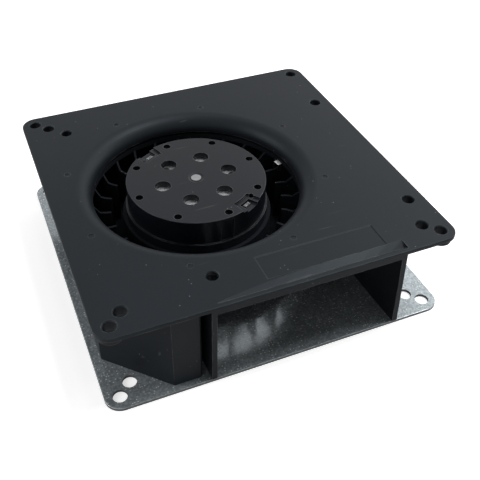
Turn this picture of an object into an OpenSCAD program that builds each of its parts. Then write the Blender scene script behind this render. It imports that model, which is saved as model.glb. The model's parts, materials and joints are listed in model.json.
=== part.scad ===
// Flat DC blower fan: a square scroll housing moulded in black plastic stands
// on a galvanised base plate, and a radial impeller turns in it on an
// external-rotor motor.
// Frame: origin at the centre of the base plate's underside, +Z up through
// the inlet, the outlet faces -Y. All sizes are in millimetres and degrees.

/* [Box] */
// Side of the square flange and of the base plate
box_side = 135; // [132:0.5:150]
// Height from the base plate's underside to the flange's top
box_height = 38; // [37.5:0.5:46]
// Radius of the plates' corners
corner_r = 6; // [3:0.5:8]
// Thickness of the moulded side walls
wall = 2; // [1.6:0.1:2.4]
// Thickness of the moulded flange
flange_t = 1.6; // [1.3:0.1:2]
// Rounding of the flange's upper edge
flange_edge = 0.4; // [0.2:0.05:0.8]
// Thickness of the base plate
plate_t = 1.2; // [0.8:0.1:1.6]
// Rounding of the base plate's upper edge
plate_edge = 0.2; // [0.1:0.05:0.4]

/* [Scroll and outlet] */
// Distance of the rotor axis from the left edge
axis_from_left = 58.1; // [57.5:0.1:59]
// Distance of the rotor axis from the back edge
axis_from_back = 66; // [65:0.25:67]
// Gap between the wheel and the scroll's tongue
tongue_gap = 3; // [2.5:0.25:4]
// Growth of the scroll's radius over a full turn
scroll_growth = 24; // [20:0.5:26]
// Distance of the outlet's left side from the rotor axis
outlet_offset = 18.2; // [17:0.2:19]
// Width of the outlet
outlet_w = 70.4; // [68:0.1:72]
// Outward lean of the outlet's right wall, at its foot
outlet_lean = 2.1; // [0.5:0.1:2.5]
// Height of the lip over the outlet
lip_h = 3.35; // [2.8:0.05:4]
// Depth of the lip over the outlet, from the front
lip_depth = 7; // [6:0.5:8]

/* [Corner block] */
// Distance of the block's left face from the left edge
block_inset = 3.5; // [2.5:0.1:3.7]
// Distance of the block's front face from the front edge
block_setback = 2.6; // [2:0.1:4.5]
// Leg of the block's slanted corner
block_cut = 21.1; // [20.5:0.1:23]
// Rounding of the block's upright edge beside the groove
block_edge = 1.5; // [0.5:0.1:2]
// Width of the groove between the block and the outlet duct
groove_w = 2.4; // [1.6:0.1:3]
// Depth of that groove, measured from the block's front face
groove_depth = 14; // [8:0.5:15]
// Width of the cable opening
cable_w = 7; // [4:0.5:9]
// Height of the cable opening
cable_h = 5; // [2:0.5:8]
// Distance of the cable opening from the front edge
cable_from_front = 42.5; // [38:0.5:48]

/* [Inlet] */
// Width of the wheel's rim, outside the inlet's throat
rim_w = 3.5; // [3.2:0.1:4]
// Width of the bell mouth, from the throat to the flange's top
bell_w = 6.5; // [5:0.1:7.3]
// Depth of the bell mouth
bell_h = 6.5; // [5:0.25:6.75]
// Distance of the ejector marks from the bell mouth
mark_gap = 3.4; // [2:0.1:4.5]
// Radius of an ejector mark
mark_r = 1.2; // [0.8:0.1:1.6]
// Depth of an ejector mark
mark_depth = 0.25; // [0.1:0.05:0.4]

/* [Top details] */
// Depth of the bare name panel
panel_depth = 0.25; // [0.15:0.05:0.4]
// Width of the bare name panel
panel_w = 46; // [40:0.5:48]
// Length of the bare name panel, front to back
panel_l = 10.6; // [8:0.1:11.5]
// Depth of the gutter behind the lip, at its right end
gutter_depth = 1.5; // [0.8:0.1:2]

/* [Mounting holes] */
// Radius of the flange's holes
hole_r = 2.35; // [2:0.05:2.6]
// Radius of the base plate's holes
plate_hole_r = 2.65; // [2.62:0.01:2.8]
// Distance of the outer corner holes from the edges
outer_inset = 5.5; // [5:0.05:6]
// Distance of the inner corner holes from the edges
inner_inset = 10.35; // [10:0.05:10.8]
// Distance of the side holes from the right edge
side_inset = 6.65; // [6:0.05:7]
// Radius of the collars under the outer corner holes
collar_r = 4.4; // [4:0.1:4.8]
// Radius of the collars under the other holes beside the scroll
small_collar_r = 3.9; // [3.4:0.1:4.2]
// Drop of the collars below the flange
collar_drop = 2.5; // [2:0.1:5]
// Chamfer at the top of each hole
hole_chamfer = 0.3; // [0.2:0.05:0.5]

/* [Impeller] */
// Radius of the hub's wall
hub_r = 28; // [27.8:0.1:28.4]
// Depth of the hub's disc below the flange's top
hub_sink = 0.8; // [0.4:0.1:1.5]
// Thickness of the hub's disc
disc_t = 3; // [2.6:0.1:3.2]
// Number of blades
blade_count = 25; // [19:1:29]
// Thickness of a blade
blade_t = 1; // [0.8:0.1:1.3]
// Radius of the blades' inner ends
blade_in_r = 35.2; // [34:0.1:36]
// Radius of the wheel
wheel_r = 45; // [44.6:0.1:45.4]
// Depth of the blades' tops below the flange's top
blade_sink = 12.5; // [11.5:0.25:13]
// Lean of a blade from its inner to its outer end
blade_lean = 6; // [0:0.5:9]
// Gap between the base plate and the wheel
floor_gap = 4; // [3.5:0.25:5]
// Thickness of the wheel's back plate
back_t = 2; // [1.4:0.1:2.4]
// Radius of the fillet between hub and back plate
flare_r = 6; // [4:0.25:6.5]

/* [Hub details] */
// Number of large holes in the hub's disc
big_count = 6; // [4:1:6]
// Radius of a large hole
big_r = 3.2; // [2.6:0.1:3.6]
// Radius of the circle of large holes
big_circle_r = 14.1; // [13:0.1:15]
// Radius of a small hole
small_r = 1.55; // [1.2:0.05:1.8]
// Radius of the circle of small holes
small_circle_r = 25.1; // [24.6:0.1:25.4]
// Width of the drive tabs on the rotor cup
tab_w = 3; // [2:0.1:3.4]

/* [Motor] */
// Radius of the shaft
shaft_r = 2; // [1.8:0.05:2.2]
// Outer radius of a ball bearing
bearing_r = 6.5; // [6.3:0.1:7]
// Width of a ball bearing
bearing_w = 5; // [4.5:0.1:5.4]
// Radius of a bearing ball
ball_r = 1.15; // [1:0.05:1.25]
// Number of balls in a bearing
ball_count = 7; // [5:1:7]
// Wall of the bearing tube
tube_wall = 2.1; // [1.8:0.1:2.2]
// Radius of the motor's aluminium flange
mount_r = 23; // [21.5:0.5:24]
// Thickness of the motor's aluminium flange
mount_t = 2.5; // [2:0.1:3]
// Radius of the rotor cup
cup_r = 26; // [25.8:0.1:26.2]
// Thickness of the rotor cup's steel
cup_t = 1.2; // [1:0.1:1.4]
// Thickness of the ring magnet
magnet_t = 2.8; // [2.4:0.1:3.2]
// Air gap between magnet and stator
air_gap = 0.5; // [0.4:0.05:0.7]
// Gap between the coils' insulator and the rotor cup's roof
roof_gap = 2.6; // [2:0.1:4]
// Thickness of the coils
coil_t = 2.3; // [1.6:0.1:2.4]
// Thickness of the circuit board
board_t = 1.6; // [1.2:0.1:1.8]
// Radius of the circuit board
board_r = 23; // [22.5:0.1:23.4]

/* [Hidden] */
$fn = 96;
SMALL_FN = 32;

// Clearance of a pressed or screwed fit, and of a ball in its track
fit = 0.03;
ball_play = 0.05;
// How far joined solids run into each other, and how far cuts overrun
merge = 0.4;
over = 1;

// Main places
half = box_side / 2;
rotor_left = half - axis_from_left;
rotor_back = half - axis_from_back;
axis_pos = [-rotor_left, rotor_back];
flange_bottom = box_height - flange_t;
outlet_left = rotor_left + outlet_offset;
outlet_right = outlet_w - outlet_left;
block_left = half - block_inset;
block_front = half - block_setback;
throat_r = wheel_r - rim_w;
bell_r = throat_r + bell_w;
mark_circle_r = bell_r + mark_gap;
tongue_r = wheel_r + tongue_gap;
tongue_angle = 360 - acos((rotor_left - outlet_left) / tongue_r);
throat_z = box_height - bell_h;
lip_z = box_height - lip_h;

// Impeller levels
hub_top = box_height - hub_sink;
disc_bottom = hub_top - disc_t;
blade_top = box_height - blade_sink;
wheel_bottom = plate_t + floor_gap;
back_top = wheel_bottom + back_t;
step_levels = [blade_top + 1.1, blade_top - 2.9];
step_radii = [hub_r + 0.8, hub_r + 2.3];
shroud_in_r = throat_r + 0.4;
shroud_low = blade_top + 2.9;
shroud_top = shroud_low + 1.5;
rim_drop = 1.8;
ramp_r = shroud_in_r - 2.4;
hub_edge = 0.3;

// Hub's details: the balancing pockets lie opposite each other
big_phase = 1.8;
small_count = 8;
small_phase = 9.1;
pocket_angles = [-59.5, 120.5];
ledge_in_r = small_circle_r - 2.8;
ledge_half = 10.6;
ledge_depth = 0.8;
pocket_in_r = small_circle_r - 1.1;
pocket_half = 6.3;
pocket_depth = 1.8;
pin_r = 0.9;
pin_circle_r = small_circle_r - 0.8;
pin_turn = 10.4;
tab_in_r = cup_r - cup_t - 0.3;
tab_gap = 0.2;
tab_top = hub_top - ledge_depth - 0.5;
dish_r = 3.6;
dish_depth = 0.2;
slot_angles = [-85.3, 94.7];
slot_half = 5.4;
slot_depth = 0.5;

// Motor levels, from the base plate up
mount_top = plate_t + mount_t;
mount_boss_r = 3;
mount_boss_h = 1.5;
board_bottom = mount_top + 2.7;
board_top = board_bottom + board_t;
ins_t = 1;
ins_side = 0.5;
ins_wall_h = coil_t + 0.1;
roof_bottom = disc_bottom - cup_t;
stator_lift = 5;
stator_bottom = board_top + stator_lift;
stator_top = roof_bottom - roof_gap - ins_wall_h - ins_t;
stack_h = stator_top - stator_bottom;
cup_inner_r = cup_r - cup_t;
cup_bottom = board_top + 1;
magnet_bottom = board_top + 2;
magnet_top = roof_bottom - 2;
magnet_in_r = cup_inner_r - fit - magnet_t;
stator_r = magnet_in_r - air_gap;

// Bearing tube, bearings and shaft
tube_in_r = bearing_r + fit;
tube_r = tube_in_r + tube_wall;
shoulder_r = bearing_r - 1.2;
clip_t = 0.6;
clip_reach = 1.3;
clip_gap = 1.8;
clip_groove = 0.4;
shaft_end = plate_t + 1;
clip_bottom = shaft_end + 0.6;
low_bearing_z = clip_bottom + clip_t;
washer_t = 0.6;
low_shoulder_z = low_bearing_z + bearing_w + washer_t;
high_bearing_z = stator_top - 3 - bearing_w;
high_bearing_top = high_bearing_z + bearing_w;
tube_top = high_bearing_top + 0.4;
bush_r = 5;
bush_nose_r = shaft_r + 1.3;
bush_nose_h = 1.2;
bush_neck_r = 3.5;
track_r = (shaft_r + bearing_r) / 2 + 0.2;
race_gap = 0.9;

// Stator, insulators and coils
tooth_count = 6;
tooth_w = 4;
yoke_r = tube_r + 3.6;
shoe_half = 24;
shoe_t = 1.4;
shoe_back = 2.8;
ins_collar_r = tube_r + 2.4;
coil_in_r = yoke_r + 0.5;
coil_out_r = stator_r - shoe_t - shoe_back;
guard_t = 1.2;
coil_inner_w = tooth_w + 2 * ins_side + 2 * fit;
coil_inner_h = stack_h + 2 * ins_t + 2 * fit;
leg_r = 1;
leg_circle_r = (tube_r + ins_collar_r) / 2 + 0.1;
terminal_r = 0.4;
terminal_depth = 1;

// Screws: countersunk, flush with the base plate's underside
screw_r = 1.4;
screw_head_r = 2.7;
screw_l = 8;
boss_r = 3.3;
boss_depth = 9;
motor_screw_r = 1.5;
motor_screw_circle_r = 17;
motor_screw_l = mount_t + plate_t + 1;

// Corner holes and the flange's further holes
outer_holes = [for (x = [-1, 1], y = [-1, 1]) [x, y] * (half - outer_inset)];
inner_holes = [for (s = [[-1, -1], [-1, 1], [1, -1]]) s * (half - inner_inset)];
side_hole_from_back = 33.6;
side_hole_from_front = 25.1;
side_holes = [for (y = [half - side_hole_from_back, side_hole_from_front - half])
              [half - side_inset, y]];
clip_hole_inset = 16.8;
duct_hole_from_front = 14.4;
extra_holes = [[-1, 1] * (half - clip_hole_inset),
               [-outlet_left + 3.8, duct_hole_from_front - half]];
extra_hole_r = 2.2;

// Chips and pins on the circuit board: length outwards, width and height
hall_size = [2, 4, 1.4];
chip_size = [5, 6, 1.6];
transistor_size = [3.5, 4, 1.3];
chip_in_r = 13.5;
transistor_in_r = 14.5;
edge_inset = 2;
pin_stub = 0.9;
supply_pin_r = 0.57;
pin_play = 0.03;

// ---- Plane geometry ----

function polar(r, a) = [r * cos(a), r * sin(a)];

function arc(centre, rx, ry, from, to, steps) =
    [for (i = [0:steps])
        let (a = from + (to - from) * i / steps)
        centre + [rx * cos(a), ry * sin(a)]];

function rounded_rect(w, h, r) = concat(
    arc([w / 2 - r, h / 2 - r], r, r, 0, 90, 4),
    arc([-w / 2 + r, h / 2 - r], r, r, 90, 180, 4),
    arc([-w / 2 + r, -h / 2 + r], r, r, 180, 270, 4),
    arc([w / 2 - r, -h / 2 + r], r, r, 270, 360, 4));

// Radius of the air path around the rotor axis: it grows evenly from the
// tongue and is blended softly into the outlet's straight right wall.
blend = 0.5;
function side_limit(a) = (outlet_right + rotor_left) / max(cos(a), 0.2);
function free_r(a) = tongue_r + scroll_growth * (tongue_angle - a) / 360;
function scroll_r(a) =
    -ln(exp(-blend * free_r(a)) + exp(-blend * side_limit(a))) / blend;

scroll_steps = 50;
function scroll_angle(i) = tongue_angle * (1 - i / scroll_steps);
function scroll_point(a) = axis_pos + polar(a == tongue_angle ? tongue_r : scroll_r(a), a);

// A point of the scroll moved outwards by d, square to the curve there
function scroll_offset(a, d) =
    let (step = scroll_point(a - 0.5) - scroll_point(a + 0.5))
    scroll_point(a) + d * [-step[1], step[0]] / norm(step);

// The cable opening reaches through the block's wall into its hollow
cable_pocket = 13;
cable_reach = 2 * wall + cable_pocket;

// The name panel's distances from the flange's front and the outlet's right
panel_from_front = 6.4;
panel_from_right = 3.5;

// Bosses for the base plate's screws stand against the outside of the scroll,
// and one stands in the hollow of the corner block
right_boss_from_front = 49.5;
right_boss_y = right_boss_from_front - half;
boss_angles = [135, 60];
boss_places = [
    for (a = boss_angles) axis_pos + polar(scroll_r(a) + wall + boss_r - merge, a),
    [outlet_right + wall + boss_r - merge, right_boss_y],
    [-block_left + block_cut - 5, -block_front + block_cut - 5]];

air_outline = concat(
    [for (i = [0:scroll_steps]) scroll_point(scroll_angle(i))],
    [[outlet_right, -half - over], [-outlet_left, -half - over]]);

duct_outline = concat(
    [for (i = [0:scroll_steps]) scroll_offset(scroll_angle(i), wall)],
    [[outlet_right + wall, -half], [-outlet_left - wall, -half],
     [-outlet_left - wall, scroll_point(tongue_angle)[1] - wall]]);

// A lower right corner at p with the radius r, moved inwards by d
function round_corner(p, r, d) =
    d < r ? arc(p + [-r, r], r - d, r - d, 270, 360, 4) : [p + [-d, d]];

// Outline of the corner block, moved inwards by d
block_right = -outlet_left - wall - groove_w;
function block_outline(d) =
    let (mitre = d * (sqrt(2) - 1))
    [[-block_left + d, rotor_back],
     [-block_left + d, -block_front + block_cut + mitre],
     [-block_left + block_cut + mitre, -block_front + d],
     each round_corner([block_right, -block_front], block_edge, d),
     [block_right - d, -block_front + groove_depth + d],
     [-outlet_left - wall, -block_front + groove_depth + d],
     [-outlet_left - wall, rotor_back]];

// A square plate with round corners and a rounded upper edge: two crossed bars
// of one section, and the same edge turned around each corner
module rounded_plate(t, edge) {
    section = concat([[-half, 0], [half, 0]],
                     arc([half - edge, t - edge], edge, edge, 0, 90, 3),
                     arc([edge - half, t - edge], edge, edge, 90, 180, 3));
    for (turn = [0, 90]) rotate([90, 0, turn])
        linear_extrude(box_side - 2 * corner_r, center = true) polygon(section);
    for (x = [-1, 1], y = [-1, 1]) translate([x, y] * (half - corner_r))
        rotate_extrude() polygon(concat(
            [[0, t], [0, 0], [corner_r, 0]],
            arc([corner_r - edge, t - edge], edge, edge, 0, 90, 3)));
}

module ring(outer, inner, z, h) {
    translate([0, 0, z]) difference() {
        cylinder(r = outer, h = h);
        translate([0, 0, -over]) cylinder(r = inner, h = h + 2 * over);
    }
}

module around(count, phase = 0) {
    for (i = [0:count - 1]) rotate(phase + 360 * i / count) children();
}

module at_axis() {
    translate([axis_pos[0], axis_pos[1], 0]) children();
}

// A block bounded by two arcs around the axis and two radial sides
module sector(inner, outer, middle, half_angle, z, h) {
    translate([0, 0, z]) linear_extrude(h)
        polygon(concat(arc([0, 0], outer, outer, middle - half_angle, middle + half_angle, 6),
                       arc([0, 0], inner, inner, middle + half_angle, middle - half_angle, 6)));
}

// A collar under a hole of the flange
module hole_collar(r) {
    translate([0, 0, flange_bottom - collar_drop])
        cylinder(r = r, h = collar_drop + merge, $fn = SMALL_FN);
}

// A round hole through the flange with a chamfered upper edge
module flange_hole(r) {
    translate([0, 0, flange_bottom - collar_drop - over])
        cylinder(r = r, h = flange_t + collar_drop + 2 * over, $fn = SMALL_FN);
    translate([0, 0, box_height - hole_chamfer])
        cylinder(r1 = r, r2 = r + 2 * hole_chamfer, h = 2 * hole_chamfer, $fn = SMALL_FN);
}

// A countersunk screw, head down and flush with z = 0
module flat_screw(r, head, l) {
    cylinder(r1 = head, r2 = r, h = plate_t, $fn = SMALL_FN);
    cylinder(r = r, h = l, $fn = SMALL_FN);
}

module screw_recess(r, head) {
    cylinder(r1 = head + fit, r2 = r + fit, h = plate_t, $fn = SMALL_FN);
    translate([0, 0, -over])
        cylinder(r = r + fit, h = plate_t + 2 * over, $fn = SMALL_FN);
}

// ---- Housing ----

module bell_mouth() {
    a = bell_r - throat_r;
    rotate_extrude() polygon(concat(
        arc([bell_r, throat_z], a, bell_h, 180, 90, 12),
        [[bell_r + merge, box_height], [bell_r + merge, flange_bottom]],
        arc([bell_r, throat_z], a - flange_t, bell_h - flange_t, 90, 180, 12)));
}

// The gutter behind the lip, as a chain of sections from left to right: a
// fine crease at first, it widens quickly towards the back and grows evenly
// deeper, and it leaves a rim along the front.
gutter_steps = 12;
gutter_w = 4.3;
gutter_rim = 1.6;
gutter_from = -outlet_left + 1;
gutter_to = outlet_right + wall + 1;
crease_depth = 0.08;
function gutter_section(u) =
    let (x = (1 - u) * gutter_from + u * gutter_to,
         depth = (1 - u) * crease_depth + u * gutter_depth,
         rim = -half + gutter_rim + 0.2 * (1 - u),
         back = rim + 0.3 + gutter_w * (1 - pow(1 - u, 3.5)),
         top = box_height)
    [[x, back, top], [x, back, top + over], [x, rim, top + over],
     [x, rim, top], [x, rim + 1.12 * depth, top - depth]];

module gutter() {
    sides = 5;
    last = gutter_steps * sides;
    polyhedron(
        points = [for (i = [0:gutter_steps]) each gutter_section(i / gutter_steps)],
        faces = [[for (k = [0:sides - 1]) k],
                 [for (k = [0:sides - 1]) last + sides - 1 - k],
                 for (i = [0:gutter_steps - 1], k = [0:sides - 1])
                     let (a = i * sides + k, b = i * sides + (k + 1) % sides)
                     each [[a, b + sides, b], [a, a + sides, b + sides]]]);
}

// The bare name panel, sunk into the flange with slanted sides
module name_panel() {
    slope = 2 * panel_depth;
    translate([outlet_right - panel_from_right - panel_w, panel_from_front - half, box_height - panel_depth]) hull() {
        cube([panel_w, panel_l, over]);
        translate([-slope, -slope, panel_depth])
            cube([panel_w + 2 * slope, panel_l + 2 * slope, over]);
    }
}

// The right wall of the outlet leans out towards its foot and straightens
// towards the back: a wedge on the wall's face at x, which may overrun its ends
module wall_lean(x, overrun) {
    front = -half - overrun;
    foot = plate_t - overrun;
    polyhedron(
        points = [[x - merge, front, foot], [x + outlet_lean, front, foot],
                  [x, front, flange_bottom], [x - merge, front, flange_bottom],
                  [x - merge, right_boss_y, foot], [x, right_boss_y, foot],
                  [x, right_boss_y, flange_bottom], [x - merge, right_boss_y, flange_bottom]],
        faces = [[0, 3, 2, 1], [4, 5, 6, 7], [0, 1, 5, 4], [3, 7, 6, 2],
                 [0, 4, 7, 3], [1, 2, 5], [2, 6, 5]]);
}

module upright_walls() {
    translate([0, 0, plate_t]) linear_extrude(flange_bottom + merge - plate_t) {
        difference() {
            union() {
                polygon(duct_outline);
                polygon(block_outline(0));
            }
            polygon(air_outline);
            difference() {
                polygon(block_outline(wall));
                polygon(duct_outline);
            }
        }
        translate(scroll_point(tongue_angle) + [-wall / 2, -wall / 2]) circle(wall * 0.6);
    }
}

module housing_walls() {
    difference() {
        union() {
            upright_walls();
            wall_lean(outlet_right + wall, 0);
        }
        wall_lean(outlet_right, over);
    }
    for (p = boss_places) translate([p[0], p[1], plate_t])
        cylinder(r = boss_r, h = flange_bottom + merge - plate_t, $fn = SMALL_FN);
}

module housing() {
    color("#2b2d2e") difference() {
        union() {
            difference() {
                translate([0, 0, flange_bottom]) rounded_plate(flange_t, flange_edge);
                at_axis() translate([0, 0, flange_bottom - over])
                    cylinder(r = bell_r, h = flange_t + 2 * over);
            }
            at_axis() bell_mouth();
            housing_walls();
            translate([-outlet_left - wall, -half, lip_z])
                cube([outlet_w + 2 * wall, lip_depth, flange_bottom + merge - lip_z]);
            for (p = outer_holes) translate([p[0], p[1], 0]) hole_collar(collar_r);
            for (p = concat(inner_holes, side_holes, [extra_holes[0]]))
                translate([p[0], p[1], 0]) hole_collar(small_collar_r);
        }
        for (p = concat(outer_holes, inner_holes, side_holes))
            translate([p[0], p[1], 0]) flange_hole(hole_r);
        for (p = extra_holes) translate([p[0], p[1], 0]) flange_hole(extra_hole_r);
        for (p = boss_places) translate([p[0], p[1], plate_t - over])
            cylinder(r = screw_r + fit, h = boss_depth + over, $fn = SMALL_FN);
        at_axis() around(8, 22.5) translate([mark_circle_r, 0, box_height - mark_depth])
            cylinder(r = mark_r, h = over, $fn = SMALL_FN);
        name_panel();
        gutter();
        translate([-block_left - over, cable_from_front - half - cable_w / 2, plate_t - over])
            cube([cable_reach, cable_w, cable_h + over]);
    }
}

// ---- Base plate and its screws ----

module base_plate() {
    color("#aeb2b4") difference() {
        rounded_plate(plate_t, plate_edge);
        for (p = concat(outer_holes, inner_holes)) translate([p[0], p[1], -over])
            cylinder(r = plate_hole_r, h = plate_t + 2 * over, $fn = SMALL_FN);
        for (p = boss_places) translate([p[0], p[1], 0]) screw_recess(screw_r, screw_head_r);
        at_axis() around(3, 30) translate([motor_screw_circle_r, 0, 0])
            screw_recess(motor_screw_r, screw_head_r);
    }
}

module base_screws() {
    color("silver") for (p = boss_places) translate([p[0], p[1], 0])
        flat_screw(screw_r, screw_head_r, screw_l);
}

// ---- Fixed part of the motor ----

module motor_flange() {
    color("#9a9c9e") at_axis() difference() {
        union() {
            translate([0, 0, plate_t]) cylinder(r = mount_r, h = mount_t);
            translate([0, 0, plate_t]) cylinder(r = tube_r, h = tube_top - plate_t);
            translate([0, 0, plate_t]) cylinder(r = tube_r + 1.2, h = mount_t + 1);
            around(3, 30) translate([motor_screw_circle_r, 0, plate_t])
                cylinder(r = mount_boss_r, h = mount_t + mount_boss_h, $fn = SMALL_FN);
        }
        translate([0, 0, plate_t - over])
            cylinder(r = tube_in_r, h = low_shoulder_z - plate_t + over);
        cylinder(r = shoulder_r, h = box_height);
        translate([0, 0, high_bearing_z]) cylinder(r = tube_in_r, h = box_height);
        around(3, 30) translate([motor_screw_circle_r, 0, plate_t - over])
            cylinder(r = motor_screw_r + fit, h = motor_screw_l - plate_t + over + 0.2, $fn = SMALL_FN);
    }
}

module motor_screws() {
    color("silver") at_axis() around(3, 30) translate([motor_screw_circle_r, 0, 0])
        flat_screw(motor_screw_r, screw_head_r, motor_screw_l);
}

module pole() {
    polygon(concat(
        arc([0, 0], stator_r, stator_r, -shoe_half, shoe_half, 8),
        [polar(stator_r - shoe_t, shoe_half), [coil_out_r + 0.3, tooth_w / 2],
         [tube_r + fit + 1, tooth_w / 2], [tube_r + fit + 1, -tooth_w / 2],
         [coil_out_r + 0.3, -tooth_w / 2], polar(stator_r - shoe_t, -shoe_half)]));
}

module stator_core() {
    color("#6f7275") at_axis() translate([0, 0, stator_bottom]) linear_extrude(stack_h)
        difference() {
            union() {
                circle(yoke_r);
                around(tooth_count) pole();
            }
            circle(tube_r + fit);
        }
}

// One end insulator, built upwards from z = 0: a thin cover over the yoke and
// teeth, a collar at the tube and a guard wall behind each pole shoe
module insulator() {
    difference() {
        union() {
            cylinder(r = yoke_r, h = ins_t);
            cylinder(r = ins_collar_r, h = ins_t + ins_wall_h);
            around(tooth_count) {
                translate([tube_r + 1, -tooth_w / 2 - ins_side, 0])
                    cube([coil_out_r + guard_t - tube_r - 1.2, tooth_w + 2 * ins_side, ins_t]);
                translate([coil_out_r + 0.1, -coil_inner_w / 2 - coil_t, 0])
                    cube([guard_t, coil_inner_w + 2 * coil_t, ins_t + ins_wall_h]);
            }
        }
        translate([0, 0, -over]) cylinder(r = tube_r + fit, h = ins_t + ins_wall_h + 2 * over);
    }
}

module upper_insulator() {
    color("#e8e4d8") at_axis() translate([0, 0, stator_top]) insulator();
}

// The lower insulator also has three legs that stand on the circuit board
// and sockets for the terminal pins
module lower_insulator() {
    low = stator_bottom - ins_t - ins_wall_h;
    color("#e8e4d8") at_axis() difference() {
        union() {
            translate([0, 0, stator_bottom]) mirror([0, 0, 1]) insulator();
            around(3, 90) translate([leg_circle_r, 0, board_top])
                cylinder(r = leg_r, h = low + merge - board_top, $fn = SMALL_FN);
        }
        around(3, 30) translate([leg_circle_r, 0, low - over])
            cylinder(r = terminal_r + fit, h = terminal_depth + over, $fn = SMALL_FN);
    }
}

// A coil: rounded rectangular turns around a tooth, drawn out along it
module coil() {
    translate([coil_in_r, 0, stator_bottom + stack_h / 2]) rotate([90, 0, 90])
        linear_extrude(coil_out_r - coil_in_r) difference() {
            polygon(rounded_rect(coil_inner_w + 2 * coil_t, coil_inner_h + 2 * coil_t - 0.1, coil_t));
            polygon(rounded_rect(coil_inner_w, coil_inner_h, 0.2));
        }
}

module windings() {
    color("#b5622c") at_axis() around(tooth_count) coil();
}

module terminal_pins() {
    low = stator_bottom - ins_t - ins_wall_h;
    color("#d8c37a") at_axis() around(3, 30) translate([leg_circle_r, 0, board_bottom - 0.8])
        cylinder(r = terminal_r, h = low + terminal_depth - board_bottom + 0.8, $fn = SMALL_FN);
}

module circuit_board() {
    color("#1f5b3a") at_axis() difference() {
        translate([0, 0, board_bottom]) cylinder(r = board_r, h = board_t);
        translate([0, 0, board_bottom - over])
            cylinder(r = tube_r + 0.4, h = board_t + 2 * over);
        around(3, 30) translate([leg_circle_r, 0, board_bottom - over])
            cylinder(r = terminal_r + fit, h = board_t + 2 * over, $fn = SMALL_FN);
        around(3, 120) translate([board_r - edge_inset, 0, board_bottom - over])
            cylinder(r = supply_pin_r + pin_play, h = board_t + 2 * over, $fn = SMALL_FN);
    }
}

// A chip on the underside of the board, from the radius r outwards
module below_board(r, size) {
    translate([r, -size[1] / 2, board_bottom - size[2]]) cube(size);
}

module hall_sensor() {
    color("#1c1c1c") at_axis() rotate(30)
        translate([board_r - hall_size[0] - 0.4, -hall_size[1] / 2, board_top]) cube(hall_size);
}

module driver_chip() {
    color("#1c1c1c") at_axis() rotate(90) below_board(chip_in_r, chip_size);
}

module power_transistors() {
    color("#1c1c1c") at_axis() for (a = [-45, -10, 200])
        rotate(a) below_board(transistor_in_r, transistor_size);
}

// Three pins at the board's edge, where the leads are soldered
module supply_terminals() {
    color("#d8c37a") at_axis() around(3, 120)
        translate([board_r - edge_inset, 0, board_bottom - pin_stub])
            cylinder(r = supply_pin_r, h = board_t + 2 * pin_stub, $fn = SMALL_FN);
}

// ---- Bearings ----

module race_track(z) {
    translate([0, 0, z + bearing_w / 2]) rotate_extrude()
        translate([track_r, 0]) circle(ball_r + ball_play, $fn = SMALL_FN);
}

module outer_race(z) {
    color("#b9bcc0") at_axis() difference() {
        ring(bearing_r, track_r + race_gap, z, bearing_w);
        race_track(z);
    }
}

module inner_race(z) {
    color("#b9bcc0") at_axis() difference() {
        ring(track_r - race_gap, shaft_r + fit, z, bearing_w);
        race_track(z);
    }
}

module balls(z) {
    color("#dfe1e4") at_axis() around(ball_count) translate([track_r, 0, z + bearing_w / 2])
        sphere(ball_r, $fn = SMALL_FN);
}

module upper_bearing_outer_race() outer_race(high_bearing_z);
module lower_bearing_outer_race() outer_race(low_bearing_z);
module upper_bearing_inner_race() inner_race(high_bearing_z);
module lower_bearing_inner_race() inner_race(low_bearing_z);
module upper_bearing_balls() balls(high_bearing_z);
module lower_bearing_balls() balls(low_bearing_z);

// The spring washer that preloads the bearings, drawn flattened
module wave_washer() {
    color("#c9ccd0") at_axis()
        ring(bearing_r - 0.1, track_r + race_gap, low_bearing_z + bearing_w, washer_t);
}

// ---- Impeller ----

// Section of hub and back plate: a stepped hub wall that flares into the plate
module hub_section() {
    polygon(concat(
        [[0, hub_top], [0, disc_bottom], [cup_r + 0.05, disc_bottom],
         [cup_r + 0.05, wheel_bottom], [wheel_r, wheel_bottom], [wheel_r, back_top]],
        arc([step_radii[1] + flare_r, back_top + flare_r], flare_r, flare_r, 270, 180, 8),
        [[step_radii[1], step_levels[1]], [step_radii[0], step_levels[1]],
         [step_radii[0], step_levels[0]], [hub_r, step_levels[0]]],
        arc([hub_r - hub_edge, hub_top - hub_edge], hub_edge, hub_edge, 0, 90, 3)));
}

function blade_angle(r) = -blade_lean * pow((r - blade_in_r) / (wheel_r - blade_in_r), 2);
blade_stations = 5;
blade_outline =
    let (radii = [for (i = [0:blade_stations])
            blade_in_r + (wheel_r - 0.2 - blade_in_r) * i / blade_stations],
         skew = [for (r = radii) asin(blade_t / 2 / r)])
    concat([polar(blade_in_r - blade_t / 2, 0)],
           [for (i = [0:blade_stations]) polar(radii[i], blade_angle(radii[i]) + skew[i])],
           [for (i = [blade_stations:-1:0]) polar(radii[i], blade_angle(radii[i]) - skew[i])]);

// Everything above the blades' tops: level inside, then a ramp up to the
// shroud's throat and down to the rim
module blade_trim() {
    rotate_extrude() polygon([
        [blade_in_r - 3, blade_top], [ramp_r, blade_top], [shroud_in_r, shroud_low],
        [wheel_r + over, shroud_low - rim_drop], [wheel_r + over, shroud_top], [blade_in_r - 3, shroud_top]]);
}

module shroud() {
    rotate_extrude() polygon([
        [shroud_in_r, shroud_low - merge], [wheel_r, shroud_low - rim_drop - merge],
        [wheel_r, shroud_low - rim_drop + 1.2], [shroud_in_r + 1.7, shroud_low + 1],
        [shroud_in_r + 1.3, shroud_top], [shroud_in_r, shroud_top]]);
}

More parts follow.
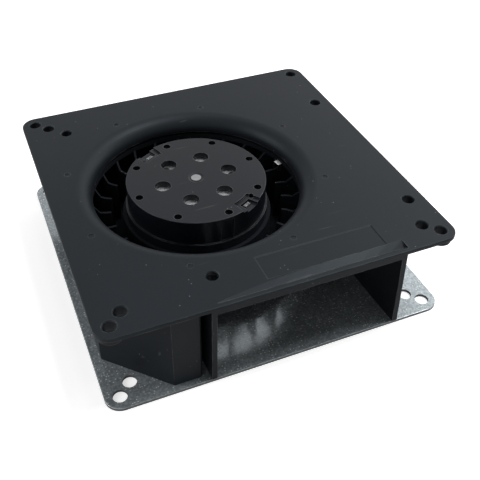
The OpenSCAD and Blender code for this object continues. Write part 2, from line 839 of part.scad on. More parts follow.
module impeller() {
    color("#232526") at_axis() {
        difference() {
            union() {
                rotate_extrude() hub_section();
                difference() {
                    around(blade_count, -2) translate([0, 0, back_top - merge])
                        linear_extrude(shroud_low - back_top + merge) polygon(blade_outline);
                    blade_trim();
                }
                shroud();
            }
            translate([0, 0, disc_bottom - over]) cylinder(r = shaft_r + fit, h = disc_t + 2 * over);
            translate([0, 0, hub_top - dish_depth]) cylinder(r1 = dish_r - 1, r2 = dish_r, h = dish_depth + 0.1);
            around(big_count, big_phase) translate([big_circle_r, 0, disc_bottom - over])
                cylinder(r = big_r, h = disc_t + 2 * over, $fn = SMALL_FN);
            around(small_count, small_phase) translate([small_circle_r, 0, disc_bottom - over])
                cylinder(r = small_r, h = disc_t + 2 * over, $fn = SMALL_FN);
            for (a = pocket_angles) {
                sector(ledge_in_r, hub_r + over, a, ledge_half, hub_top - ledge_depth, over + ledge_depth);
                sector(pocket_in_r, hub_r + over, a, pocket_half, hub_top - pocket_depth, over + pocket_depth);
                rotate(a) translate([tab_in_r - tab_gap, -tab_w / 2 - tab_gap, disc_bottom - over])
                    cube([cup_t + 2 * tab_gap, tab_w + 2 * tab_gap, disc_t + over]);
                rotate(a + pin_turn) translate([pin_circle_r, 0, disc_bottom - over])
                    cylinder(r = pin_r, h = disc_t + 2 * over, $fn = SMALL_FN);
            }
            for (a = slot_angles)
                sector(hub_r - slot_depth, hub_r + 0.4, a, slot_half, step_levels[0],
                       hub_top - 1 - step_levels[0]);
        }
    }
}

// A spring steel clip pushed over the top of one blade to balance the wheel
clip_wall = 0.45;
clip_h = 3.4;
clip_l = 2;
module balance_clip() {
    r = shroud_in_r - clip_l - 0.15;
    top = shroud_low + clip_wall + fit;
    w = blade_t + 1.2;
    color("#d5d7d9") at_axis() rotate(-2 + 360 / blade_count + blade_angle(r + clip_l / 2))
        translate([r, -w / 2 - clip_wall, top - clip_h]) difference() {
            cube([clip_l, w + 2 * clip_wall, clip_h]);
            translate([-over, clip_wall, -over])
                cube([clip_l + 2 * over, w, clip_h + over - clip_wall]);
        }
}

// ---- Turning part of the motor ----

module rotor_cup() {
    edge = 1.2;
    color("#c3c6c9") at_axis() difference() {
        union() {
            rotate_extrude() polygon(concat(
                [[bush_neck_r + fit, disc_bottom], [bush_neck_r + fit, roof_bottom],
                 [cup_inner_r, roof_bottom], [cup_inner_r, cup_bottom], [cup_r, cup_bottom]],
                arc([cup_r - edge, disc_bottom - edge], edge, edge, 0, 90, 6)));
            for (a = pocket_angles) rotate(a)
                translate([tab_in_r, -tab_w / 2, disc_bottom - cup_t / 2])
                    cube([cup_t, tab_w, tab_top - disc_bottom + cup_t / 2]);
        }
        around(3, big_phase) translate([big_circle_r + 1.6, 0, roof_bottom - over])
            cylinder(r = 1.5, h = cup_t + 2 * over, $fn = SMALL_FN);
    }
}

module ring_magnet() {
    color("#3a3633") at_axis()
        ring(cup_inner_r - fit, magnet_in_r, magnet_bottom, magnet_top - magnet_bottom);
}

module rotor_bush() {
    color("#b08d57") at_axis() difference() {
        union() {
            translate([0, 0, high_bearing_top]) cylinder(r = bush_nose_r, h = bush_nose_h + merge);
            translate([0, 0, high_bearing_top + bush_nose_h])
                cylinder(r = bush_r, h = roof_bottom - high_bearing_top - bush_nose_h);
            translate([0, 0, high_bearing_top + bush_nose_h])
                cylinder(r = bush_neck_r, h = disc_bottom - high_bearing_top - bush_nose_h);
        }
        translate([0, 0, high_bearing_top - over]) cylinder(r = shaft_r + fit, h = box_height);
    }
}

module shaft() {
    color("#d9dbdd") at_axis() difference() {
        translate([0, 0, shaft_end]) cylinder(r = shaft_r, h = hub_top - shaft_end);
        ring(shaft_r + over, shaft_r - clip_groove, clip_bottom, clip_t);
    }
}

module shaft_circlip() {
    color("#4a4c4e") at_axis() difference() {
        ring(shaft_r + clip_reach, shaft_r - clip_groove + fit, clip_bottom + fit, clip_t - fit);
        translate([0, -clip_gap / 2, clip_bottom - over])
            cube([shaft_r + 2 * clip_reach, clip_gap, clip_t + 2 * over]);
    }
}

housing();
base_plate();
base_screws();
motor_flange();
motor_screws();
stator_core();
upper_insulator();
lower_insulator();
windings();
terminal_pins();
circuit_board();
hall_sensor();
driver_chip();
power_transistors();
supply_terminals();
upper_bearing_outer_race();
lower_bearing_outer_race();
wave_washer();
impeller();
rotor_cup();
ring_magnet();
rotor_bush();
shaft();
shaft_circlip();
upper_bearing_inner_race();
lower_bearing_inner_race();
upper_bearing_balls();
lower_bearing_balls();
balance_clip();
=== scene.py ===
"""The looks of a flat DC blower fan.

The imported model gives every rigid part. This file gives those parts their finishes, puts
finely made pieces in the place of the ones that are plain there, and sets up the stage.
Lengths are in metres, in the model's own frame: +Z up through the inlet, outlet towards -Y.
"""

import json
import math

import bpy
import numpy as np
from mathutils import Matrix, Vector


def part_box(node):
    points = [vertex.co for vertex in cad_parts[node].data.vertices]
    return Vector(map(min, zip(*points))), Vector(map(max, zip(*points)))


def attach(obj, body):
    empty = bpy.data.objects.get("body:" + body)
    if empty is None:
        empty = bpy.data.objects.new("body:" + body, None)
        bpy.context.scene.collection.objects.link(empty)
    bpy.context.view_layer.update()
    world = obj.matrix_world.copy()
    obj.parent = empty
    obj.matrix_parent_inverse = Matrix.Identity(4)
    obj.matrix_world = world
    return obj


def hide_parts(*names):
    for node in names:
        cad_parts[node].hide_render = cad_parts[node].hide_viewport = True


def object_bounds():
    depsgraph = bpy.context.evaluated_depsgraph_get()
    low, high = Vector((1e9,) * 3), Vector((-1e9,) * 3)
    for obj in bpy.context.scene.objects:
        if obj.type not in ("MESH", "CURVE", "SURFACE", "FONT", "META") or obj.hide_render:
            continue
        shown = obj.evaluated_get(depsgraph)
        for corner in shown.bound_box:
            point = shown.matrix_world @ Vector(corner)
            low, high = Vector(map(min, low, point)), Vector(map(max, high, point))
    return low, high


bl_info = {
    "name": "Flat blower fan",
    "version": (1, 0, 0),
    "blender": (4, 5, 0),
    "location": "View3D > Sidebar > Blower",
    "description": "Finishes and fine pieces of a flat DC blower fan",
    "category": "Add Mesh",
}

MM = 0.001
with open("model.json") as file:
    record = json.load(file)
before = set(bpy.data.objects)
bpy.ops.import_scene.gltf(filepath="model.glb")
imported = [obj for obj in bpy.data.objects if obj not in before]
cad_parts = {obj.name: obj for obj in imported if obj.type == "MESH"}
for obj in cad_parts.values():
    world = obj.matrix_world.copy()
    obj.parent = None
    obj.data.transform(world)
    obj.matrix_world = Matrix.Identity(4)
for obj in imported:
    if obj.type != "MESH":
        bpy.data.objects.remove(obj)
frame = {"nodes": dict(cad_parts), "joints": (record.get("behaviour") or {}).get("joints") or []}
cad_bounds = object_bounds()
axis_x, axis_y = frame["joints"][0]["pos_m"][:2]


# ---- Shader maths ----


class Value:
    """A shader socket that can stand in an expression: each operator adds one Math node."""

    def __init__(self, nodes, socket):
        self.nodes = nodes
        self.socket = socket

    def _math(self, operation, *terms):
        return self.nodes.node("ShaderNodeMath", {"operation": operation}, dict(enumerate(terms)))

    def __add__(self, other):
        return self._math("ADD", self, other)

    def __sub__(self, other):
        return self._math("SUBTRACT", self, other)

    def __rsub__(self, other):
        return self._math("SUBTRACT", other, self)

    def __mul__(self, other):
        return self._math("MULTIPLY", self, other)

    __radd__ = __add__
    __rmul__ = __mul__

    def most(self, other):
        """The larger of two values."""
        return self._math("MAXIMUM", self, other)

    def wave(self, period):
        """Runs evenly from 0 up to 1 and back down once every period."""
        return self._math("PINGPONG", self, period / 2) * (2 / period)

    def ramp(self, low, high):
        """0 at low and 1 at high, with a smooth step between. Low may be the larger one."""
        limits = {"Value": self, "From Min": low, "From Max": high}
        return self.nodes.node("ShaderNodeMapRange", {"interpolation_type": "SMOOTHSTEP"}, limits)


class Nodes:
    """A node tree, emptied, whose nodes are added one by one."""

    def __init__(self, tree):
        self.tree = tree
        tree.nodes.clear()

    def node(self, kind, settings=None, values=None, output=0):
        """Adds a node: its settings first, then the values or links of its sockets."""
        made = self.tree.nodes.new(kind)
        for name, setting in (settings or {}).items():
            setattr(made, name, setting)
        open_inputs = {socket.name: socket for socket in made.inputs if socket.enabled}
        for name, value in (values or {}).items():
            self._feed(made.inputs[name] if isinstance(name, int) else open_inputs[name], value)
        outputs = [socket for socket in made.outputs if socket.enabled]
        if outputs:
            chosen = outputs[output] if isinstance(output, int) else made.outputs[output]
            return Value(self, chosen)
        return None

    def _feed(self, socket, value):
        if isinstance(value, Value):
            self.tree.links.new(value.socket, socket)
        elif socket.type == "RGBA" and len(value) == 3:
            socket.default_value = (*value, 1)
        else:
            socket.default_value = value

    def mix(self, share, first, second):
        """Two colours mixed by a share from 0 to 1."""
        values = {"Factor": share, "A": first, "B": second}
        return self.node("ShaderNodeMix", {"data_type": "RGBA"}, values)


class Finish(Nodes):
    """A material. Every pattern in it lies on Object coordinates."""

    def __init__(self, name, **surface):
        self.material = bpy.data.materials.new(name)
        self.material.use_nodes = True
        super().__init__(self.material.node_tree)
        shader = self.node("ShaderNodeBsdfPrincipled")
        self.surface = shader.socket.node
        self.node("ShaderNodeOutputMaterial", values={"Surface": shader})
        self.place = self.node("ShaderNodeTexCoord", output="Object")
        for socket, value in surface.items():
            self.set(socket.replace("_", " ").title().replace("Ior", "IOR"), value)

    def set(self, socket, value):
        self._feed(self.surface.inputs[socket], value)

    def noise(self, size, detail=2.0, stretch=(1, 1, 1)):
        """Soft noise whose patches measure about size metres, longer along a small stretch."""
        place = self.node("ShaderNodeMapping", values={"Vector": self.place, "Scale": stretch})
        values = {"Vector": place, "Scale": 1 / size, "Detail": detail}
        return self.node("ShaderNodeTexNoise", values=values)

    def cells(self, size, output="Distance", randomness=1.0):
        """Cells about size metres across: each cell's own colour, or the distance in it."""
        values = {"Vector": self.place, "Scale": 1 / size, "Randomness": randomness}
        return self.node("ShaderNodeTexVoronoi", values=values, output=output)

    def part(self, vector, name):
        """One part of a vector: X, Y or Z."""
        return self.node("ShaderNodeSeparateXYZ", values={"Vector": vector}, output=name)

    def from_shaft(self):
        """The distance in plan from the shaft's line."""
        middle = {"Vector": self.place, "Location": (-axis_x, -axis_y, 0), "Scale": (1, 1, 0)}
        place = self.node("ShaderNodeMapping", values=middle)
        return self.node("ShaderNodeVectorMath", {"operation": "LENGTH"}, {0: place}, "Value")

    def level(self):
        """1 on level faces and 0 on upright ones: the square of the normal's upward part."""
        up = self.part(self.node("ShaderNodeTexCoord", output="Normal"), "Z")
        return up * up

    def edges(self, width):
        """1 on the edges and 0 on open faces, by how far a rounding of that width turns them."""
        rounded = self.node("ShaderNodeBevel", {"samples": 6}, {"Radius": width})
        normals = {0: rounded, 1: self.node("ShaderNodeNewGeometry", output="True Normal")}
        alike = self.node("ShaderNodeVectorMath", {"operation": "DOT_PRODUCT"}, normals, "Value")
        return (1 - alike).ramp(0.01, 0.1)

    def bump(self, height, depth):
        """Tilts the surface as a relief of that height and depth, in metres, would."""
        values = {"Height": height, "Distance": depth, "Strength": 1.0}
        self.set("Normal", self.node("ShaderNodeBump", values=values))


def grey(level, tint=(1, 1, 1)):
    """A colour made lighter or darker by a level, or that level's plain grey."""
    return tuple(level * t for t in tint)


# ---- Finishes ----


def moulded_plastic(name, colour, roughness, grain, polished=None):
    """Black plastic from a mould: fine grain, faint flow clouds, hair scratches, dust, and edges painted
    pale as highlights.

    Where a height and a reach from the shaft are given, the skin above the one and within the
    other is polished, and the rest is dull and has no painted edge highlights.
    """
    finish = Finish(name, specular_ior_level=0.145, specular_tint=(0.8, 0.93, 1.0), coat_roughness=0.3)
    clouds = finish.noise(0.03, 3)
    flow = finish.noise(0.012, 2, (1, 0.25, 1))
    scratches = finish.noise(0.0016, 1, (0.05, 1, 1)).ramp(0.71, 0.76) * finish.noise(0.02).ramp(0.5, 0.7)
    dust = finish.cells(0.0024).ramp(0.11, 0.05) * finish.noise(0.009, 1).ramp(0.58, 0.68)
    # Painted highlight: a mask of the edges, where the base colour is lightened towards pale grey.
    edge_highlight = finish.edges(0.45 * MM) * finish.noise(0.006, 2).ramp(0.3, 0.6)
    rough = roughness - 0.06 + 0.12 * clouds + 0.1 * dust - 0.08 * scratches
    if polished is not None:
        (height, reach), fade = polished, 0.5 * MM
        polish = finish.part(finish.place, "Z").ramp(height - fade, height + fade)
        polish = polish * finish.from_shaft().ramp(reach, reach - fade)
        edge_highlight = edge_highlight * polish
        rough = rough + 0.4 * (1 - polish)
        finish.set("Coat Weight", 0.16 * polish)
    shade = finish.mix(0.6 * clouds + 0.4 * flow, grey(0.8, colour), grey(1.2, colour))
    # Painted highlight: the edges lightened to pale grey.
    shade = finish.mix(0.6 * edge_highlight, shade, (0.13, 0.14, 0.146))
    shade = finish.mix(0.25 * scratches, shade, (0.12, 0.12, 0.125))
    finish.set("Base Color", finish.mix(0.5 * dust, shade, (0.3, 0.3, 0.3)))
    finish.set("Roughness", rough)
    finish.bump(finish.noise(grain, 3) + 0.6 * dust - 0.3 * scratches, 0.00001)
    return finish.material


def pebbled_zinc(name, colour):
    """Galvanised sheet with a pebbled skin: a raised grain about every millimetre, many painted bright as
    glints.

    Between the grains runs a fine net of duller valleys, over wide faint clouds. Its upright
    sides, the sheet's edges, show bare steel, dull, and painted dark as shade.
    """
    finish = Finish(name)
    pebble, order = 0.0011, 0.6
    grains = finish.cells(pebble, randomness=order).ramp(0.3, 0.14)
    share = finish.part(finish.cells(pebble, "Color", order), "Y").ramp(0.2, 0.9)
    # Painted glints: the chosen grains.
    bright = grains * share
    net = finish.noise(0.0009, 3).ramp(0.4, 0.62)
    clouds = finish.noise(0.02, 3)
    shaded_cut = finish.level().ramp(0.5, 0.2)
    shade = finish.mix(0.75 * net + 0.25 * clouds, grey(0.72, colour), grey(1.24, colour))
    # Painted glints: the chosen grains lightened to pale grey, and also made less metallic and rougher.
    shade = finish.mix(bright, shade, (0.6, 0.63, 0.64))
    # Painted shade: the upright faces darkened to near black.
    finish.set("Base Color", finish.mix(shaded_cut, shade, (0.12, 0.125, 0.13)))
    finish.set("Metallic", 0.45 - 0.2 * bright - 0.25 * shaded_cut)
    finish.set("Roughness", 0.13 + 0.05 * net + 0.05 * clouds + 0.2 * bright + 0.3 * shaded_cut)
    finish.bump(bright + 0.3 * net, 0.000003)
    return finish.material


def turned_metal(name, colour, roughness=0.25):
    """Bright metal with the fine rings that turning or grinding leaves, a little tarnished."""
    finish = Finish(name, metallic=1.0)
    rings = finish.noise(0.0004, 2, (1, 1, 0.02))
    tarnish = finish.noise(0.003, 3)
    finish.set("Base Color", finish.mix(tarnish, grey(0.8, colour), grey(1.05, colour)))
    finish.set("Roughness", roughness + 0.12 * rings + 0.1 * tarnish)
    finish.bump(rings, 0.000004)
    return finish.material


def plated_sheet(name, colour, roughness=0.3, darker_above=None):
    """Drawn sheet steel under zinc: streaks along the draw, and a thin cloudy passivation.

    Above the height darker_above the sheet is darker grey, with a fine grain, and dull.
    """
    finish = Finish(name, metallic=1.0)
    streaks = finish.noise(0.0012, 2, (1, 1, 0.08))
    cloud = finish.noise(0.006, 3)
    shade = finish.mix(cloud, grey(0.78, colour), grey(1.08, colour))
    rough = roughness + 0.1 * streaks + 0.1 * cloud
    if darker_above is not None:
        # Above that height: darker grey and duller.
        darker_top = finish.part(finish.place, "Z").ramp(darker_above - 0.1 * MM, darker_above)
        grains = finish.noise(0.0005, 2).ramp(0.4, 0.6)
        shade = finish.mix(darker_top, shade, finish.mix(grains, grey(0.1, colour), grey(0.3, colour)))
        rough = rough + 0.3 * darker_top
    finish.set("Base Color", shade)
    finish.set("Roughness", rough)
    finish.bump(streaks + 0.5 * cloud, 0.000008)
    return finish.material


def spring_steel(name, colour):
    """Bent spring strip: its level face painted bright as a highlight, and its legs painted dark as
    shade, mottled.
    """
    finish = Finish(name, metallic=1.0)
    mottle = finish.noise(0.0008, 2)
    dark = finish.mix(mottle, grey(0.06), grey(0.12))
    # Painted light: level faces get the bright colour as a highlight, the legs the dark as shade.
    finish.set("Base Color", finish.mix(finish.level().ramp(0.3, 0.6), dark, colour))
    finish.set("Roughness", 0.45 + 0.1 * mottle)
    finish.bump(mottle, 0.000004)
    return finish.material


def cast_metal(name, colour):
    """Die-cast aluminium: satin, with a pebbled skin and dark pin pores."""
    finish = Finish(name, metallic=1.0)
    pebbles = finish.noise(0.0007, 3)
    pores = finish.cells(0.0016).ramp(0.12, 0.06)
    shade = finish.mix(pebbles, grey(0.85, colour), grey(1.1, colour))
    finish.set("Base Color", finish.mix(0.5 * pores, shade, grey(0.35, colour)))
    finish.set("Roughness", 0.45 + 0.15 * pebbles)
    finish.bump(pebbles - pores, 0.00002)
    return finish.material


def stacked_sheets(name, colour, sheet=0.0005):
    """Punched laminations: a line at each sheet's edge, one every sheet metres of height."""
    finish = Finish(name, metallic=1.0)
    gap = finish.part(finish.place, "Z").wave(sheet).ramp(0.25, 0.0)
    rust = finish.noise(0.002, 3).ramp(0.55, 0.8)
    shade = finish.mix(gap, colour, grey(0.3, colour))
    finish.set("Base Color", finish.mix(0.4 * rust, shade, (0.22, 0.12, 0.07)))
    finish.set("Roughness", 0.45 + 0.25 * rust + 0.1 * gap)
    finish.bump(1 - gap, 0.00003)
    return finish.material


def clear_nylon(name, colour):
    """Natural nylon: milky, waxy and slightly uneven."""
    finish = Finish(name, subsurface_weight=0.1, subsurface_scale=0.001)
    cloud = finish.noise(0.004, 3)
    finish.set("Base Color", finish.mix(cloud, grey(0.92, colour), colour))
    finish.set("Roughness", 0.38 + 0.12 * cloud)
    finish.bump(finish.noise(0.0005, 2), 0.000008)
    return finish.material


def wound_copper(name, colour, wire=0.00045):
    """Enamelled wire in layers: a round back and a valley painted dark as shade for every turn, one each
    wire metres.
    """
    finish = Finish(name, coat_roughness=0.12)
    height = finish.part(finish.place, "Z") + 0.3 * finish.part(finish.place, "X")
    back = height.wave(wire).ramp(0.0, 0.8)
    # Painted shade: the valleys' base colour is darkened to about a third.
    finish.set("Base Color", finish.mix(back, grey(0.35, colour), colour))
    finish.set("Metallic", 0.3 + 0.6 * back)
    finish.set("Roughness", 0.3 + 0.1 * finish.noise(0.001))
    finish.set("Coat Weight", 0.6 * back)
    finish.bump(back, 0.00008)
    return finish.material


def circuit_laminate(name, colour, pitch=0.0018):
    """Green solder mask over arcs of copper track around the shaft, with a glassy coat.

    The distance from the shaft runs up and down once every pitch, and the track lies where it
    is high. Patches without a track break the rings into arcs.
    """
    finish = Finish(name, roughness=0.35, coat_roughness=0.08, coat_weight=0.5)
    tracks = finish.from_shaft().wave(pitch).ramp(0.3, 0.42) * finish.noise(0.007, 0).ramp(0.46, 0.5)
    finish.set("Base Color", finish.mix(tracks, grey(0.7, colour), grey(1.6, colour)))
    finish.bump(tracks, 0.00003)
    return finish.material


def chip_epoxy(name, colour):
    """Moulded epoxy of a chip: dull and finely blasted."""
    finish = Finish(name, specular_ior_level=0.4)
    blast = finish.noise(0.00015, 3)
    finish.set("Base Color", finish.mix(blast, grey(0.8, colour), grey(1.3, colour)))
    finish.set("Roughness", 0.5 + 0.2 * blast)
    finish.bump(blast, 0.000012)
    return finish.material


def sintered_magnet(name, colour):
    """Bonded ferrite: matt, sandy and nearly black, with glinting grains."""
    finish = Finish(name)
    sand = finish.noise(0.0004, 3)
    glints = finish.part(finish.cells(0.0005, "Color"), "X").ramp(0.93, 0.97)
    finish.set("Base Color", finish.mix(sand, grey(0.75, colour), grey(1.3, colour)))
    finish.set("Metallic", 0.6 * glints)
    finish.set("Roughness", 0.7 - 0.35 * glints)
    finish.bump(sand, 0.00002)
    return finish.material


def give(material, *nodes):
    """Puts one material on some CAD nodes, in place of what they had."""
    for node in nodes:
        piece = frame["nodes"][node]
        piece.data.materials.clear()
        piece.data.materials.append(material)


# ---- Meshes ----


def turned_mesh(name, points, material, body):
    """Makes a closed mesh from a grid of points, shaped (rings, turns, 3).

    The grid closes on itself around the turns. Its first and last rings are single points,
    so each becomes one vertex, joined to its neighbour ring by triangles.
    """
    rings, turns = points.shape[:2]
    middle = points[1:-1].reshape(-1, 3)
    vertices = np.vstack([points[0, :1], middle, points[-1, :1]])
    index = 1 + np.arange((rings - 2) * turns).reshape(rings - 2, turns)
    after = np.roll(index, -1, axis=1)
    quads = np.stack([index[:-1], after[:-1], after[1:], index[1:]], axis=-1).reshape(-1, 4)
    start = np.stack([np.zeros_like(index[0]), after[0], index[0]], axis=-1)
    end = np.stack([np.full_like(index[0], len(vertices) - 1), index[-1], after[-1]], axis=-1)
    mesh = bpy.data.meshes.new(name)
    mesh.from_pydata(vertices.tolist(), [], [*start.tolist(), *quads.tolist(), *end.tolist()])
    mesh.shade_smooth()
    mesh.materials.append(material)
    piece = bpy.data.objects.new(name, mesh)
    bpy.context.scene.collection.objects.link(piece)
    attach(piece, body)
    return piece


def cross_recess(x, y, reach, width):
    """Share of a cross-shaped recess's depth at (x, y), both over the head's radius.

    Each of its two arms is full along its middle line, falls off over a narrow edge at half
    its width, and shallows evenly towards the end of its reach. The deeper arm counts.
    """
    def arm(along, across):
        flank = np.clip((width / 2 - np.abs(across)) / 0.05, 0, 1)
        return flank * np.clip((reach - np.abs(along)) / (0.45 * reach), 0, 1)
    return np.maximum(arm(x, y), arm(y, x))


def countersunk_screw(name, place, size, material):
    """A countersunk screw, head down: a recessed face, a cone and a threaded shank.

    Its surface is turned around the axis. Along the first rings the radius grows from 0 to
    the head's and the height is the recess's depth; then the radius narrows to the shank's up
    the cone; on the shank it falls and rises by the thread's depth once every pitch, shifted
    by one pitch a turn; and the last ring is the tip.
    """
    head_r, shank_r, cone_h, length = size
    pitch, thread_depth = 0.9 * MM, 0.22
    point_length, point_tip = 1.2 * MM, 0.25
    turns, face_rings, shank_rings = 96, 30, 90
    turn = np.linspace(0, 2 * np.pi, turns, endpoint=False)
    face = np.linspace(0, 0.96, face_rings)[:, None]
    depth = 0.42 * head_r * cross_recess(face * np.cos(turn), face * np.sin(turn), 0.62, 0.22)
    height = cone_h + np.linspace(0, 1, shank_rings)[:, None] * (length - cone_h)
    crest = np.abs((height / pitch - turn / (2 * np.pi)) % 1 - 0.5) * 2
    point = np.clip((length - height) / point_length, 0, 1) ** 0.6
    shank = shank_r * (1 - thread_depth * (1 - crest)) * (point_tip + (1 - point_tip) * point)

    def ring(value):
        return np.full((1, turns), value)

    radius = np.vstack([face * head_r + 0 * turn, ring(head_r), ring(head_r), shank, ring(0)])
    level = np.vstack([depth, ring(0.02 * head_r), ring(0.1 * cone_h), height + 0 * turn, ring(length)])
    x, y, z = place
    points = np.stack([x + radius * np.cos(turn), y + radius * np.sin(turn), z + level], -1)
    return turned_mesh(name, points[:, ::-1], material, "stator")


# ---- Settings ----


class BlowerMouldings(bpy.types.PropertyGroup):
    """Colours and textures of the moulded parts."""

    housing_colour: bpy.props.FloatVectorProperty(
        name="Housing colour", description="Colour of the housing's plastic", subtype="COLOR",
        default=(0.0071, 0.0086, 0.0108), min=0, max=1)
    housing_roughness: bpy.props.FloatProperty(
        name="Housing roughness", description="Roughness of the housing's skin",
        subtype="FACTOR", default=0.44, min=0, max=1)
    wheel_colour: bpy.props.FloatVectorProperty(
        name="Wheel colour", description="Colour of the wheel's plastic", subtype="COLOR",
        default=(0.0038, 0.0046, 0.0066), min=0, max=1)
    wheel_roughness: bpy.props.FloatProperty(
        name="Wheel roughness", description="Roughness of the wheel's skin",
        subtype="FACTOR", default=0.36, min=0, max=1)
    grain: bpy.props.FloatProperty(
        name="Grain", description="Size of the mould's surface grain", subtype="DISTANCE",
        unit="LENGTH", default=0.0004, min=0.0001, max=0.002)
    nylon_colour: bpy.props.FloatVectorProperty(
        name="Nylon colour", description="Colour of the coils' insulators", subtype="COLOR",
        default=(0.78, 0.75, 0.66), min=0, max=1)


class BlowerMetals(bpy.types.PropertyGroup):
    """Colours of the metal parts."""

    zinc_colour: bpy.props.FloatVectorProperty(
        name="Zinc colour", description="Colour of the base plate's zinc", subtype="COLOR",
        default=(0.335, 0.375, 0.395), min=0, max=1)
    steel_colour: bpy.props.FloatVectorProperty(
        name="Steel colour", description="Colour of bright steel", subtype="COLOR",
        default=(0.56, 0.57, 0.58), min=0, max=1)
    core_colour: bpy.props.FloatVectorProperty(
        name="Core colour", description="Colour of the stator's sheets", subtype="COLOR",
        default=(0.22, 0.23, 0.24), min=0, max=1)
    aluminium_colour: bpy.props.FloatVectorProperty(
        name="Aluminium colour", description="Colour of the cast flange", subtype="COLOR",
        default=(0.6, 0.61, 0.62), min=0, max=1)
    brass_colour: bpy.props.FloatVectorProperty(
        name="Brass colour", description="Colour of the rotor's bush", subtype="COLOR",
        default=(0.62, 0.43, 0.17), min=0, max=1)
    copper_colour: bpy.props.FloatVectorProperty(
        name="Copper colour", description="Colour of the enamelled wire", subtype="COLOR",
        default=(0.52, 0.2, 0.08), min=0, max=1)


class BlowerScrews(bpy.types.PropertyGroup):
    """Sizes of the countersunk screws."""

    head_radius: bpy.props.FloatProperty(
        name="Head radius", description="Radius of a screw's head", subtype="DISTANCE",
        unit="LENGTH", default=2.7 * MM, min=0.002, max=0.004)
    shank_radius: bpy.props.FloatProperty(
        name="Shank radius", description="Radius of a screw's thread", subtype="DISTANCE",
        unit="LENGTH", default=1.4 * MM, min=0.001, max=0.002)


class BlowerStage(bpy.types.PropertyGroup):
    """The camera's place, the lamps and the floor."""

    azimuth: bpy.props.FloatProperty(
        name="Azimuth", description="Camera's turn about the vertical", subtype="ANGLE",
        default=math.radians(-22.06))
    elevation: bpy.props.FloatProperty(
        name="Elevation", description="Camera's angle above the horizon", subtype="ANGLE",
        default=math.radians(41.22))
    roll: bpy.props.FloatProperty(
        name="Roll", description="Camera's turn about its own line of sight", subtype="ANGLE",
        default=math.radians(0.21))
    distance: bpy.props.FloatProperty(
        name="Distance", description="Camera's distance from the base plate's centre",
        subtype="DISTANCE", unit="LENGTH", default=0.305, min=0.1)
    lens: bpy.props.FloatProperty(
        name="Lens", description="Focal length on a 36 mm sensor", unit="CAMERA", default=52.41)
    top_power: bpy.props.FloatProperty(
        name="Top power", description="Power of the lamp overhead", unit="POWER", default=8.0)
    window_power: bpy.props.FloatProperty(
        name="Window power", description="Power of the small lamp high behind", unit="POWER", default=0.5)
    side_power: bpy.props.FloatProperty(
        name="Side power", description="Power of the lamp at the right", unit="POWER", default=3.0)
    back_power: bpy.props.FloatProperty(
        name="Back power", description="Power of the lamp behind at the right", unit="POWER", default=1.1)
    left_power: bpy.props.FloatProperty(
        name="Left power", description="Power of the lamp at the left", unit="POWER", default=4.7)
    room_light: bpy.props.FloatProperty(
        name="Room light", description="Strength of the light from all around", default=0.25, min=0)
    floor_colour: bpy.props.FloatVectorProperty(
        name="Floor colour", description="Colour of the floor", subtype="COLOR",
        default=(0.8, 0.8, 0.8), min=0, max=1)


# ---- Operators ----


class BLOWER_OT_housing(bpy.types.Operator):
    """Finish the moulded housing"""

    bl_idname = "blower.housing"
    bl_label = "Housing"

    def execute(self, context):
        s = context.scene.blower_mouldings
        plastic = moulded_plastic("black_housing_plastic", s.housing_colour, s.housing_roughness, s.grain)
        give(plastic, "housing")
        return {"FINISHED"}


class BLOWER_OT_wheel(bpy.types.Operator):
    """Finish the impeller and its balancing clip"""

    bl_idname = "blower.wheel"
    bl_label = "Wheel"

    def execute(self, context):
        s = context.scene.blower_mouldings
        hub_foot, hub_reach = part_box("housing")[1].z - 12 * MM, 34.5 * MM
        plastic = moulded_plastic(
            "black_wheel_plastic", s.wheel_colour, s.wheel_roughness, s.grain, (hub_foot, hub_reach))
        give(plastic, "impeller")
        # The clip's near-white colour is the painted highlight of its level face.
        give(spring_steel("clip_spring_steel", (0.95, 0.95, 0.95)), "balance_clip")
        return {"FINISHED"}


class BLOWER_OT_base(bpy.types.Operator):
    """Finish the base plate and make the screws"""

    bl_idname = "blower.base"
    bl_label = "Base plate and screws"

    def execute(self, context):
        s, sizes = context.scene.blower_metals, context.scene.blower_screws
        give(pebbled_zinc("pebbled_zinc", s.zinc_colour), "base_plate")
        zinc = plated_sheet("zinc_plated_screw", s.steel_colour, 0.28)
        plate_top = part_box("base_plate")[1].z
        for node in ("base_screws", "motor_screws"):
            for i, (centre, height) in enumerate(solid_places(node)):
                size = sizes.head_radius, sizes.shank_radius, plate_top, height
                name = f"{node[:-1]}_{i + 1}"
                screw = countersunk_screw(name, (*centre, 0.0), size, zinc)
                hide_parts(node)
        return {"FINISHED"}


def solid_places(node):
    """The centre (x, y) and the top of each separate solid of a node, found by its loose corners.

    Corners nearer than 6 mm in plan belong to one solid, because screws stand farther apart.
    """
    mesh = frame["nodes"][node].data
    corners = np.empty(len(mesh.vertices) * 3, np.float32)
    mesh.vertices.foreach_get("co", corners)
    corners = corners.reshape(-1, 3).astype(float)
    places = []
    while len(corners):
        near = np.hypot(*(corners[:, :2] - corners[0, :2]).T) < 6 * MM
        group = corners[near]
        places.append(((group[:, :2].min(0) + group[:, :2].max(0)) / 2, group[:, 2].max()))
        corners = corners[~near]
    return places


